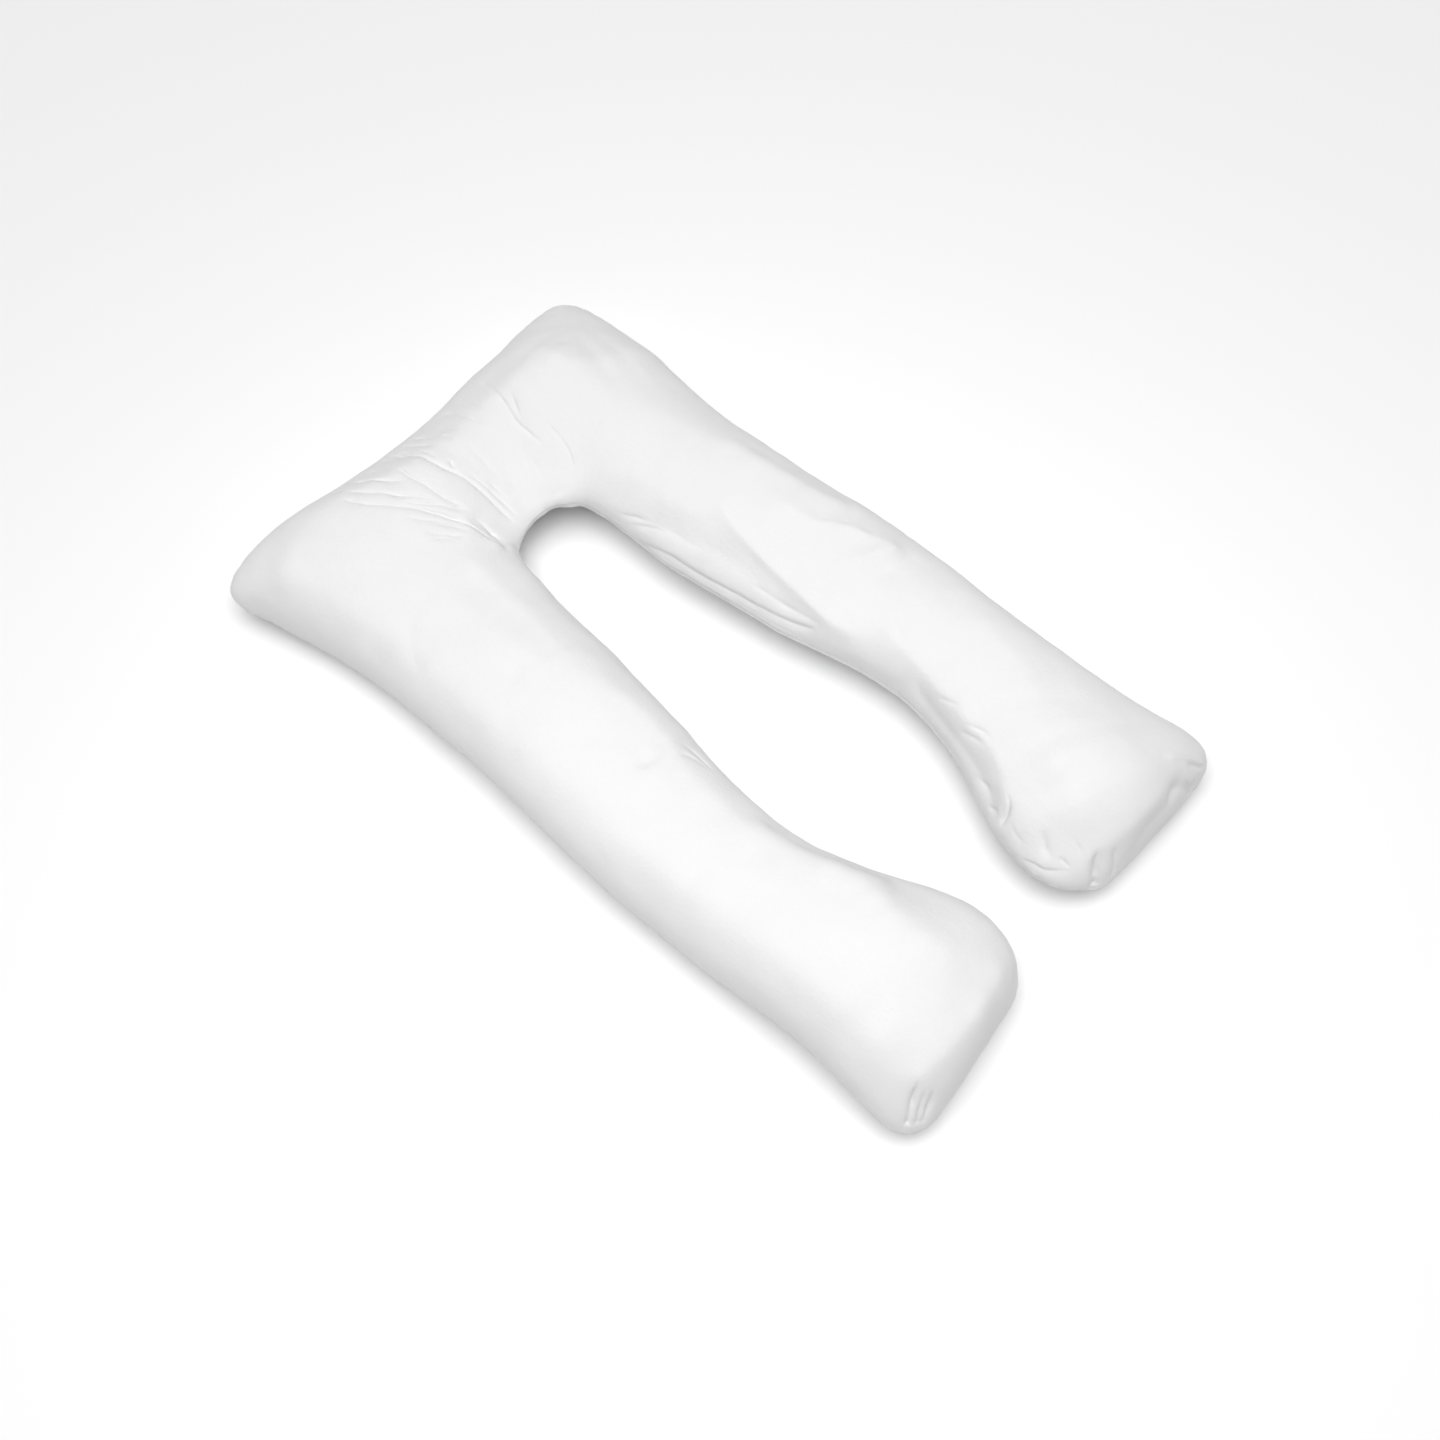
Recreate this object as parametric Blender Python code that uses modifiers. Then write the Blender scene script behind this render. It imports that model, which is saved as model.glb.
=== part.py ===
"""U-shaped body pillow, lying on its back on a flat surface.

Two U-shaped panels of cloth are sewn together round their edge and stuffed. The filling
makes each limb an oval tube, draws the straight sides in between the corners, leaves the
corners thin, and presses the underside flat where the pillow rests. Across the head the
cloth is gathered towards the top of the opening, in a fan of shallow folds.

The pillow is one soft body. Its cage is the sewn pair of panels: a strip of panel that
runs up the left leg, across the head and down the right leg, doubled top and bottom.
Subdivision rounds the cage, and the floor flattens what would sink below it.

Frame: metres, +Z up, the floor at Z = 0, the head at +Y, the feet at -Y.
"""

from collections import namedtuple
from math import cos, radians, sin

import bmesh
import bpy

NODE = "pillow_body"
CLOTH_COLOUR = (0.90, 0.90, 0.90, 1.0)
CLOTH_ROUGHNESS = 0.75

# Ring of the cage: five columns from the outer seam to the inner seam, top and bottom,
# which is ten points evenly round an oval. A subdivided ten-point ring shrinks to
# 0.936 of its size, so the cage is drawn larger by that much.
COLUMN_ANGLES = [radians(angle) for angle in (18, 54, 90, 126, 162)]
CAGE_REACH = 1 / 0.936
SUBDIVISIONS = 2

# One row for each section through the pillow, from the left foot round to the right.
# outer and inner: where the side of the pillow is, in plan.
# crown and belly: height of the top and of the underside. A belly below 0 is pressed flat.
# outer_pinch, inner_pinch: how far that side is pressed thin, from 0, a full oval, to 1.
# outer_sag, inner_sag: how far that side hangs below the middle height, or is held above it.
Section = namedtuple(
    "Section",
    "name outer_x outer_y inner_x inner_y crown belly"
    " outer_pinch inner_pinch outer_sag inner_sag",
)
SECTIONS = [
    Section("left foot seam", -0.320, -0.705, -0.110, -0.685, 0.090, 0.025, 0.1, 0.0, 0.025, 0.015),
    Section("left foot roll", -0.365, -0.685, -0.070, -0.660, 0.140, 0.0, 0.3, 0.0, 0.030, 0.010),
    Section("left toe", -0.370, -0.635, -0.050, -0.615, 0.165, -0.010, 0.1, 0.2, 0.020, -0.005),
    Section("left ball", -0.360, -0.550, -0.050, -0.545, 0.190, -0.012, 0.0, 0.4, 0.010, -0.005),
    Section("left instep", -0.365, -0.455, -0.090, -0.455, 0.185, -0.012, 0.0, 0.2, 0.010, 0.0),
    Section("left ankle", -0.370, -0.345, -0.130, -0.360, 0.170, -0.012, 0.0, 0.0, 0.010, 0.0),
    Section("left waist", -0.375, -0.220, -0.145, -0.225, 0.160, -0.012, 0.0, 0.0, 0.005, -0.010),
    Section("left shin", -0.380, -0.075, -0.120, -0.075, 0.160, -0.012, 0.0, 0.0, 0.0, -0.010),
    Section("left middle", -0.365, 0.065, -0.095, 0.070, 0.170, -0.012, 0.0, 0.0, 0.0, -0.005),
    Section("left thigh", -0.365, 0.205, -0.080, 0.210, 0.165, -0.012, 0.0, 0.1, 0.0, 0.005),
    Section("left hip", -0.365, 0.340, -0.070, 0.305, 0.160, -0.012, 0.0, 0.0, 0.010, -0.005),
    Section("left shoulder", -0.375, 0.475, -0.065, 0.340, 0.165, -0.012, 0.0, 0.0, 0.020, -0.005),
    Section("left corner side", -0.405, 0.610, -0.060, 0.355, 0.170, -0.012, 0.0, 0.0, 0.020, 0.0),
    Section("left corner", -0.440, 0.720, -0.055, 0.365, 0.180, -0.012, 0.7, 0.0, 0.030, 0.005),
    Section("left corner top", -0.295, 0.715, -0.050, 0.380, 0.180, -0.012, 0.1, 0.2, 0.005, 0.010),
    Section("left deep fold", -0.205, 0.695, -0.045, 0.385, 0.170, -0.012, 0.2, 0.2, -0.005, 0.005),
    Section("left puff", -0.140, 0.690, -0.040, 0.385, 0.170, -0.012, 0.4, 0.5, -0.005, 0.005),
    Section("second fold", -0.080, 0.690, -0.030, 0.390, 0.165, -0.012, 0.4, 0.6, 0.0, 0.0),
    Section("head centre", -0.005, 0.695, -0.010, 0.395, 0.155, -0.012, 0.6, 0.8, 0.0, -0.010),
    Section("head slope", 0.075, 0.695, 0.015, 0.400, 0.150, -0.012, 0.4, 0.6, -0.005, -0.010),
    Section("right faint fold", 0.150, 0.700, 0.040, 0.395, 0.155, -0.012, 0.2, 0.6, -0.005, -0.015),
    Section("right puff", 0.215, 0.700, 0.055, 0.385, 0.170, -0.012, 0.2, 0.6, 0.010, -0.015),
    Section("right corner top", 0.290, 0.715, 0.070, 0.370, 0.175, -0.012, 0.4, 0.4, 0.010, -0.005),
    Section("right corner", 0.400, 0.715, 0.080, 0.365, 0.185, -0.012, 0.8, 0.4, 0.005, -0.005),
    Section("right corner side", 0.405, 0.600, 0.085, 0.355, 0.175, -0.012, 0.6, 0.3, 0.005, -0.005),
    Section("right shoulder", 0.390, 0.475, 0.090, 0.340, 0.175, -0.012, 0.2, 0.3, 0.0, -0.005),
    Section("right hip", 0.375, 0.340, 0.095, 0.300, 0.170, -0.012, 0.3, 0.2, 0.005, -0.005),
    Section("right thigh", 0.370, 0.210, 0.085, 0.205, 0.175, -0.012, 0.1, 0.3, 0.0, -0.005),
    Section("right middle", 0.370, 0.070, 0.100, 0.065, 0.175, -0.012, 0.0, 0.4, 0.0, -0.005),
    Section("right shin", 0.390, -0.075, 0.115, -0.075, 0.165, -0.012, 0.1, 0.2, 0.0, -0.005),
    Section("right waist", 0.375, -0.225, 0.160, -0.225, 0.155, -0.012, 0.0, 0.0, -0.010, -0.020),
    Section("right ankle", 0.365, -0.355, 0.140, -0.360, 0.160, -0.012, 0.0, 0.0, -0.010, -0.015),
    Section("right instep", 0.365, -0.465, 0.090, -0.455, 0.165, -0.012, 0.3, 0.1, -0.015, -0.005),
    Section("right ball", 0.360, -0.555, 0.045, -0.545, 0.185, -0.012, 0.4, 0.4, -0.005, 0.005),
    Section("right toe", 0.390, -0.635, 0.045, -0.615, 0.175, -0.010, 0.5, 0.6, 0.005, 0.015),
    Section("right foot roll", 0.390, -0.685, 0.080, -0.660, 0.125, 0.0, 0.7, 0.2, 0.010, 0.005),
    Section("right foot seam", 0.345, -0.695, 0.120, -0.685, 0.065, 0.025, 0.3, 0.0, 0.015, 0.005),
]


def clear_scene():
    for thing in list(bpy.data.objects):
        bpy.data.objects.remove(thing, do_unlink=True)


def cloth_material():
    material = bpy.data.materials.new("white_cloth")
    material.use_nodes = True
    shader = material.node_tree.nodes["Principled BSDF"]
    shader.inputs["Base Color"].default_value = CLOTH_COLOUR
    shader.inputs["Roughness"].default_value = CLOTH_ROUGHNESS
    shader.inputs["Metallic"].default_value = 0.0
    return material


def cage_point(section, column, side):
    """Place of one cage point: side is 1 on the top panel and -1 on the bottom panel."""
    angle = COLUMN_ANGLES[column]
    across = 0.5 - 0.5 * CAGE_REACH * cos(angle)
    x = section.outer_x + across * (section.inner_x - section.outer_x)
    y = section.outer_y + across * (section.inner_y - section.outer_y)
    to_outer = max(0.0, 1 - column / 2)
    to_inner = max(0.0, column / 2 - 1)
    middle = (section.crown + section.belly) / 2
    middle -= section.outer_sag * to_outer**2 + section.inner_sag * to_inner**2
    half_height = (section.crown - section.belly) / 2
    thin = section.outer_pinch * to_outer + section.inner_pinch * to_inner
    return x, y, middle + side * (1 - thin) * CAGE_REACH * half_height * sin(angle)


def panel_cage():
    """The sewn panels: a strip of quads on top, the same below, and a wall round the edge."""
    cage = bmesh.new()
    last = len(SECTIONS) - 1
    columns = len(COLUMN_ANGLES) - 1
    bmesh.ops.create_grid(cage, x_segments=last, y_segments=columns, size=1)
    top = cage.verts[:]
    made = bmesh.ops.extrude_face_region(cage, geom=cage.faces[:], use_keep_orig=True)
    bottom = [item for item in made["geom"] if isinstance(item, bmesh.types.BMVert)]
    for side, panel in ((1, top), (-1, bottom)):
        for vert in panel:
            row = round((vert.co.x + 1) / 2 * last)
            column = round((vert.co.y + 1) / 2 * columns)
            vert.co = cage_point(SECTIONS[row], column, side)
    bmesh.ops.recalc_face_normals(cage, faces=cage.faces[:])
    return cage


def rounded(cage):
    """Mesh of the cage after subdivision."""
    mesh = bpy.data.meshes.new(NODE)
    cage.to_mesh(mesh)
    cage.free()
    rough = bpy.data.objects.new(NODE + "_cage", mesh)
    bpy.context.scene.collection.objects.link(rough)
    rounding = rough.modifiers.new("rounding", "SUBSURF")
    rounding.levels = SUBDIVISIONS
    rounding.render_levels = SUBDIVISIONS
    graph = bpy.context.evaluated_depsgraph_get()
    body = bpy.data.meshes.new_from_object(rough.evaluated_get(graph))
    bpy.data.objects.remove(rough, do_unlink=True)
    return body


def settle(body):
    """Presses flat what the floor presses flat, and centres the pillow over the origin."""
    xs = [vert.co.x for vert in body.vertices]
    ys = [vert.co.y for vert in body.vertices]
    centre_x = (min(xs) + max(xs)) / 2
    centre_y = (min(ys) + max(ys)) / 2
    for vert in body.vertices:
        x, y, z = vert.co
        vert.co = (x - centre_x, y - centre_y, max(z, 0.0))


def main():
    clear_scene()
    collection = bpy.data.collections.new("body_pillow")
    bpy.context.scene.collection.children.link(collection)
    body = rounded(panel_cage())
    settle(body)
    body.shade_smooth()
    body.materials.append(cloth_material())
    collection.objects.link(bpy.data.objects.new(NODE, body))


main()
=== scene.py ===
# %% [markdown]
# # U-shaped body pillow
#
# The pillow is one long bolster bent into a U: two legs, joined across the head. The solid
# model gives its size and its plump main forms. This file sews the cloth on: the casing is
# remeshed, blown up like a real stuffed case, then given its seam, its folds and its weave.
# Everything is in metres, the pillow lies on its back on the floor, and +Z is up. The head is
# at +Y, the left leg at -X and the right leg at +X.

# %% Start from the solid model
import math
from collections import namedtuple

import bmesh
import bpy
import numpy as np
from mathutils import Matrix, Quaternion, Vector, noise
from mathutils.bvhtree import BVHTree
from mathutils.kdtree import KDTree


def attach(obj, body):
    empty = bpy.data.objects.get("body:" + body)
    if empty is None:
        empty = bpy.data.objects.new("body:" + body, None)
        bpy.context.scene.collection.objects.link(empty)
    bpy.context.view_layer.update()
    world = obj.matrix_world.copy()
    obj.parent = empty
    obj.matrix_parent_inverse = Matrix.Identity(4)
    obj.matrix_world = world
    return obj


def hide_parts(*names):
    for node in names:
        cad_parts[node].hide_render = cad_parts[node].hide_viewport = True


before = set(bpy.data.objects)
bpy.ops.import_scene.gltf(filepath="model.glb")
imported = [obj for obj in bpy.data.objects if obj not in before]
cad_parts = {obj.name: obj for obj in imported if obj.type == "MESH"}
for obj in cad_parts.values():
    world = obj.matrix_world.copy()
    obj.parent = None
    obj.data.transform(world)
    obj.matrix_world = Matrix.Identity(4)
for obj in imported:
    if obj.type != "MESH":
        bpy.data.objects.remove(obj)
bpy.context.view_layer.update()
MM = 0.001

# %% [markdown]
# ## The casing
#
# A pillow case is two panels of cloth, sewn together round their edge. We could draw both
# panels flat and sew them in a simulation, but the plump shape is already in the solid. So we
# take a copy of it, because the solid itself must stay as it is, and merge its loose triangles
# into one skin. A voxel remesh then gives the skin an even grain of small squares, which both
# the cloth solver and the folds need. The skin starts a little smaller, because filling it
# makes it swell.

# %% Copy the solid into a casing with an even grain
GRAIN = 6 * MM
START_SMALLER = 3 * MM
SAME_POINT = 0.01 * MM


def new_object(name, mesh):
    made = bpy.data.objects.new(name, mesh)
    bpy.context.scene.collection.objects.link(made)
    return made


def freeze(obj):
    """Makes what the modifiers show the real mesh, and removes the modifiers."""
    graph = bpy.context.evaluated_depsgraph_get()
    mesh = bpy.data.meshes.new_from_object(obj.evaluated_get(graph))
    obj.modifiers.clear()
    obj.data = mesh


skin = bmesh.new()
skin.from_mesh(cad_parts["pillow_body"].data)
bmesh.ops.remove_doubles(skin, verts=skin.verts, dist=SAME_POINT)
for vert in skin.verts:
    vert.co -= vert.normal * START_SMALLER
casing_mesh = bpy.data.meshes.new("pillow_casing")
skin.to_mesh(casing_mesh)
skin.free()
casing = new_object("pillow_casing", casing_mesh)
grain = casing.modifiers.new("even_grain", "REMESH")
grain.mode = "VOXEL"
grain.voxel_size = GRAIN
freeze(casing)
print("casing:", len(casing.data.vertices), "points")

# %% [markdown]
# ## Where the cloth folds
#
# The cloth is too wide where the pillow bends round the opening, so it gathers there in a fan
# of folds. More folds run down the inside of the right leg, and short pleats sit at the feet.
# A solver alone puts its folds where it likes, so each main fold is drawn: a line of points
# seen from above, in millimetres, with the width and depth of its valley. A depth below 0 makes
# a small ridge. A step lifts the cloth on the left of the line and lowers it on the right, or
# the other way round if it is below 0, as where one bulge lies over another. A fold fades out
# at both ends, except at an open end, where it stays deep and runs into the seam.

# %% The folds, in millimetres
Fold = namedtuple("Fold", "name width depth points step open_end", defaults=(0.0, False))
FOLDS = [
    # The fan across the head, from the outer edge to the opening.
    Fold("fan deep", 2.6, 3.2, [
        (-48, 645), (-48, 605), (-43, 580), (-41, 557), (-36, 535), (-26, 508), (-20, 482),
        (-18, 460), (-17, 435), (-14, 400)]),
    Fold("fan deep twin", 2.2, 2.4, [
        (-26, 508), (-13, 498), (-9, 482), (-6, 462), (-4, 436), (-2, 405)]),
    Fold("fan deep upper twin", 2.2, 2.2, [(-36, 600), (-31, 577), (-33, 550)]),
    Fold("fan deep notch", 2.2, 2.0, [(-18, 545), (-22, 528), (-28, 515)]),
    Fold("fan third twin", 2.2, 1.5, [(2, 485), (4, 457), (5, 425)]),
    Fold("fan edge lower", 2.6, 2.4, [
        (-33, 655), (-30, 636), (-24, 616), (-18, 598), (-10, 575)]),
    Fold("fan edge upper", 2.4, 2.0, [(-12, 656), (-6, 636), (2, 600)]),
    Fold("fan edge last", 2.4, 1.5, [(12, 600), (16, 577), (12, 560)]),
    Fold("fan slant", 2.6, 3.2, [
        (-88, 600), (-87, 562), (-83, 536), (-80, 516), (-77, 495), (-71, 475), (-62, 455)]),
    Fold("fan slant branch", 2.0, 1.4, [(-84, 538), (-76, 526), (-62, 515)]),
    Fold("fan left high", 2.9, 2.9, [
        (-150, 645), (-133, 613), (-120, 590), (-110, 572), (-95, 550)]),
    Fold("fan left middle", 2.6, 2.7, [
        (-174, 625), (-155, 588), (-138, 562), (-125, 541), (-112, 524), (-100, 508),
        (-88, 488)]),
    Fold("fan left strong", 2.4, 2.9, [
        (-135, 528), (-121, 514), (-107, 498), (-94, 487), (-82, 470), (-71, 460), (-60, 445)]),
    Fold("fan left long", 2.4, 2.9, [
        (-190, 615), (-183, 593), (-174, 572), (-160, 552), (-146, 531), (-130, 511),
        (-118, 494), (-108, 476), (-98, 460), (-87, 441), (-79, 421), (-73, 400)]),
    Fold("fan left second", 2.0, 1.7, [
        (-152, 505), (-139, 488), (-128, 474), (-115, 460), (-103, 447), (-92, 428)]),
    Fold("fan left third", 2.0, 2.0, [
        (-126, 505), (-112, 484), (-100, 468), (-90, 450), (-80, 432)]),
    Fold("fan left fourth", 2.6, 2.2, [
        (-152, 463), (-138, 449), (-125, 436), (-112, 421), (-98, 405)]),
    Fold("fan left fifth", 2.2, 1.5, [(-130, 465), (-112, 449), (-98, 430), (-88, 410)]),
    Fold("fan left last", 2.4, 1.5, [(-150, 446), (-132, 431), (-117, 416)]),
    Fold("fan corner first", 2.9, 2.9, [(-66, 440), (-62, 425), (-58, 400), (-52, 382)]),
    Fold("fan corner second", 2.9, 2.9, [(-79, 418), (-72, 398), (-62, 378)]),
    Fold("fan pleat first", 2.8, 1.7, [(-180, 658), (-172, 625)]),
    Fold("fan pleat second", 2.9, 1.7, [(-120, 655), (-104, 620)]),
    Fold("fan pleat third", 2.8, 1.7, [(-78, 655), (-76, 625)]),
    Fold("fan pleat fourth", 2.9, 2.0, [(-64, 655), (-58, 615), (-60, 590)]),
    Fold("fan right long", 2.6, 1.9, [
        (140, 640), (130, 592), (120, 550), (113, 528), (108, 510), (108, 485), (110, 447)]),
    Fold("fan right branch", 2.2, 1.4, [(145, 565), (133, 540), (123, 522), (117, 500)]),
    Fold("fan right fine", 2.2, 1.5, [
        (137, 475), (137, 452), (134, 427), (127, 407), (119, 393), (108, 388)]),
    Fold("fan middle faint", 4.0, 0.8, [(85, 465), (77, 437), (69, 418)]),
    Fold("fan middle soft", 5.0, 1.2, [(20, 550), (22, 517), (21, 497), (25, 465)]),
    Fold("fan top soft", 3.5, 1.5, [(92, 662), (88, 597), (92, 570)]),
    Fold("fan top short", 3.5, 1.5, [(58, 655), (65, 605), (68, 572), (70, 545)]),
    Fold("arch pocket", 8.0, 0.0, [(-82, 445), (-73, 412), (-67, 385), (-66, 355)], step=-7.0),
    # The inside of the right leg.
    Fold("thigh deep", 4.0, 2.6, [
        (99, 250), (100, 200), (105, 150), (110, 100), (117, 50), (122, 10), (129, -35),
        (137, -75), (146, -115)], step=2.0),
    Fold("thigh low", 3.5, 1.0, [(104, 50), (110, 5), (117, -40), (126, -85), (135, -115)]),
    Fold("thigh high", 6.0, 1.1, [(112, 270), (120, 235), (127, 195), (131, 150), (135, 112)]),
    Fold("thigh inner", 4.0, 1.2, [(140, 20), (144, -30), (148, -70), (151, -120)]),
    Fold("thigh valley", 18.0, 2.2, [
        (170, 80), (164, 35), (160, -5), (157, -50), (154, -95), (154, -140)]),
    Fold("arch right first", 2.4, 1.0, [(106, 295), (112, 265), (117, 247), (123, 220)]),
    Fold("arch right second", 3.0, 1.3, [(104, 262), (110, 240), (119, 208), (124, 180)]),
    Fold("shin outside", 6.0, 0.8, [
        (264, 10), (288, -18), (303, -42), (314, -72), (320, -95)], step=-3.5),
    Fold("thigh outer side", 16.0, 0.0, [
        (312, 200), (318, 130), (326, 70), (334, 20), (346, -25)], step=-4.5),
    Fold("right ankle slant", 8.0, 2.0, [(230, -195), (208, -222), (197, -250)]),
    # The right foot, whose inner side and end are drawn in.
    Fold("right foot end", 16.0, 3.0, [(165, -690), (215, -684), (265, -688)]),
    Fold("right corner pocket", 11.0, 5.0, [(255, -690), (290, -680), (335, -700)]),
    Fold("right ankle first", 4.0, 1.8, [(166, -325), (168, -352), (173, -372)]),
    Fold("right ankle second", 4.0, 2.5, [(155, -390), (158, -415), (155, -442)]),
    Fold("right ankle third", 4.0, 1.5, [(148, -380), (147, -407), (144, -442)]),
    Fold("right foot pocket", 3.4, 3.6, [
        (107, -500), (101, -512), (90, -520), (78, -522), (70, -520)]),
    Fold("right foot spot", 4.0, 3.0, [(92, -485), (87, -498), (85, -512)]),
    Fold("right foot upper", 5.0, 2.0, [(115, -440), (110, -462), (100, -490)]),
    Fold("right foot faint", 4.0, 1.2, [(85, -528), (75, -545), (70, -570)]),
    Fold("right foot roll", 3.0, 1.8, [
        (57, -567), (62, -590), (66, -610), (78, -628), (90, -642)]),
    Fold("right pleat first", 6.0, 2.6, [(100, -572), (86, -590), (76, -610)]),
    Fold("right pleat spot", 3.4, 2.4, [(86, -612), (88, -625), (88, -638)]),
    Fold("right pleat second", 5.0, 1.6, [(118, -612), (110, -635), (100, -655)]),
    Fold("right pleat third", 6.0, 6.0, [(132, -648), (118, -660), (107, -674)], open_end=True),
    Fold("right pleat fourth", 5.0, 3.0, [
        (152, -664), (146, -675), (140, -684)], open_end=True),
    Fold("right corner upper", 4.0, -2.5, [
        (297, -637), (330, -660), (365, -684)], open_end=True),
    Fold("right corner lower", 4.0, 2.5, [(328, -668), (362, -688)], open_end=True),
    # The left leg.
    Fold("left ankle side", 12.0, 0.0, [
        (-158, -240), (-157, -300), (-150, -355), (-137, -400), (-120, -438),
        (-102, -472)], step=-4.5),
    Fold("arm shade", 12.0, 1.8, [(-250, 375), (-285, 348), (-308, 315), (-318, 270)]),
    Fold("waist notch", 8.0, 0.6, [
        (-145, -78), (-180, -92), (-212, -86), (-232, -64)], step=3.0),
    Fold("waist long", 3.2, 1.8, [(-143, -90), (-138, -117), (-140, -140), (-143, -165)]),
    Fold("waist short", 3.2, 1.6, [(-172, -104), (-155, -113), (-148, -130), (-145, -157)]),
    Fold("left pleat first", 4.0, 4.0, [
        (-293, -662), (-315, -671), (-339, -684)], open_end=True),
    Fold("left pleat second", 4.0, 3.0, [
        (-295, -676), (-310, -683), (-329, -693)], open_end=True),
    Fold("left pleat third", 4.0, 3.0, [
        (-283, -681), (-300, -690), (-321, -698)], open_end=True),
    Fold("left toe corner", 5.0, 2.5, [(-68, -662), (-100, -679)]),
]
print(len(FOLDS), "folds drawn")

# %% [markdown]
# ## Wide forms
#
# The stuffing also makes wide forms that no fold explains: shoulders where the flat top of a
# limb turns down to its side, and hollows between two bulges. Each is a line too, with its
# height, how far it reaches to either side, and how round its edge is, all in millimetres. A
# height below 0 makes a hollow.

# %% The wide forms, in millimetres
Form = namedtuple("Form", "name height width edge points")
FORMS = [
    # The left leg.
    Form("left outer shoulder", 7.0, 30.0, 26.0, [
        (-335, 585), (-322, 500), (-312, 420), (-306, 330), (-303, 200), (-303, 60),
        (-308, -40), (-315, -120), (-308, -200), (-302, -300), (-298, -400), (-296, -500),
        (-300, -590)]),
    Form("left thigh shoulder", 3.0, 26.0, 18.0, [
        (-200, 350), (-203, 270), (-198, 200), (-185, 140), (-160, 90)]),
    Form("left thigh inside", -4.0, 32.0, 20.0, [(-150, 330), (-150, 250), (-155, 170)]),
    Form("left thigh edge", 6.0, 24.0, 14.0, [
        (-130, 360), (-135, 300), (-142, 220), (-154, 140)]),
    Form("left inner shoulder", 5.0, 26.0, 16.0, [
        (-150, 60), (-147, 0), (-150, -50), (-168, -110), (-180, -170), (-184, -230),
        (-178, -300), (-163, -360), (-156, -420)]),
    Form("left foot shoulder", 7.5, 26.0, 22.0, [
        (-152, -395), (-143, -420), (-146, -450), (-155, -490), (-160, -530), (-150, -580)]),
    Form("left foot inside", -3.0, 25.0, 15.0, [(-105, -480), (-90, -530)]),
    Form("left toe shoulder", 6.0, 20.0, 12.0, [(-290, -660), (-200, -667), (-115, -655)]),
    # The head.
    Form("left corner shoulder", 4.0, 30.0, 28.0, [
        (-330, 590), (-290, 610), (-250, 625), (-205, 622)]),
    Form("head upper shoulder", 9.0, 32.0, 20.0, [
        (-130, 590), (-60, 572), (-10, 580), (30, 570), (70, 588), (110, 575), (170, 562),
        (235, 552)]),
    Form("right corner ridge", 10.0, 55.0, 14.0, [
        (228, 612), (230, 555), (246, 508), (290, 486), (345, 470)]),
    Form("head middle", 4.0, 60.0, 16.0, [(-75, 520), (0, 535), (90, 528), (170, 505)]),
    # The right leg.
    Form("thigh upper shoulder", 3.0, 28.0, 12.0, [
        (150, 330), (160, 270), (162, 200), (172, 150)]),
    Form("thigh lip", 1.5, 12.0, 6.0, [
        (187, 95), (181, 60), (176, 30), (173, 0), (170, -40), (167, -80), (166, -120),
        (168, -145)]),
    Form("thigh shoulder", 8.0, 28.0, 4.0, [
        (199, 130), (188, 100), (182, 65), (177, 30), (173, 0), (170, -40), (167, -80),
        (166, -120), (170, -155)]),
    Form("thigh inside", -4.0, 20.0, 12.0, [
        (128, 230), (138, 150), (146, 80), (148, 10), (146, -60)]),
    Form("thigh outer shoulder upper", 5.0, 28.0, 20.0, [(272, 330), (283, 260), (296, 205)]),
    Form("thigh outer shoulder", 6.5, 26.0, 12.0, [
        (300, 190), (307, 150), (311, 110), (315, 70), (319, 30), (328, 0), (345, -25)]),
    Form("shin plateau edge", 6.0, 20.0, 6.0, [
        (263, 50), (264, 22), (268, 5), (282, -12), (297, -32), (308, -57), (314, -85),
        (318, -118)]),
    Form("shin plateau foot", 5.0, 16.0, 5.0, [(265, -98), (290, -110), (318, -122)]),
    Form("shin hollow", -4.0, 18.0, 10.0, [(262, -130), (292, -145), (325, -150)]),
    Form("shin shoulder", 8.0, 28.0, 7.0, [
        (203, -215), (196, -245), (188, -280), (180, -320), (172, -360), (163, -400),
        (152, -440), (137, -470), (120, -492), (103, -512)]),
    Form("shin inside", -6.0, 18.0, 10.0, [
        (165, -300), (148, -360), (134, -410), (118, -450), (95, -495)]),
    Form("right toe shoulder", 5.0, 20.0, 12.0, [(115, -645), (190, -662), (250, -666)]),
    Form("right foot crest", 9.0, 60.0, 12.0, [
        (300, -320), (270, -410), (232, -455), (203, -490), (180, -530), (155, -590)]),
]
print(len(FORMS), "wide forms drawn")

# %% [markdown]
# ## From a line to a fold
#
# A mesh of a few hundred thousand points is slow to move one by one, so the points are read
# into arrays, moved all together and written back. A fold's points become a smooth curve,
# which is let down onto the pillow. Then each point of the skin needs only its distance to
# that curve: close by it sinks into the valley, and further off it stays. A narrow fold, up
# to 3.2 mm wide, is lopsided, because cloth leans over to one side as it creases: seen along
# the line, its left flank is steep and its right flank is wide. The depth drifts a little
# along the line, since no real fold is equally deep from end to end.

# %% Points of a mesh, and the surface they make
def points_of(mesh):
    flat = np.empty(len(mesh.vertices) * 3, dtype=np.float32)
    mesh.vertices.foreach_get("co", flat)
    return flat.reshape(-1, 3).astype(float)


def normals_of(mesh):
    flat = np.empty(len(mesh.vertices) * 3, dtype=np.float32)
    mesh.vertex_normals.foreach_get("vector", flat)
    return flat.reshape(-1, 3).astype(float)


def edges_of(mesh):
    flat = np.empty(len(mesh.edges) * 2, dtype=np.int32)
    mesh.edges.foreach_get("vertices", flat)
    return flat.reshape(-1, 2)


def move_points(mesh, points):
    mesh.vertices.foreach_set("co", points.astype(np.float32).ravel())
    mesh.update()


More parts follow.
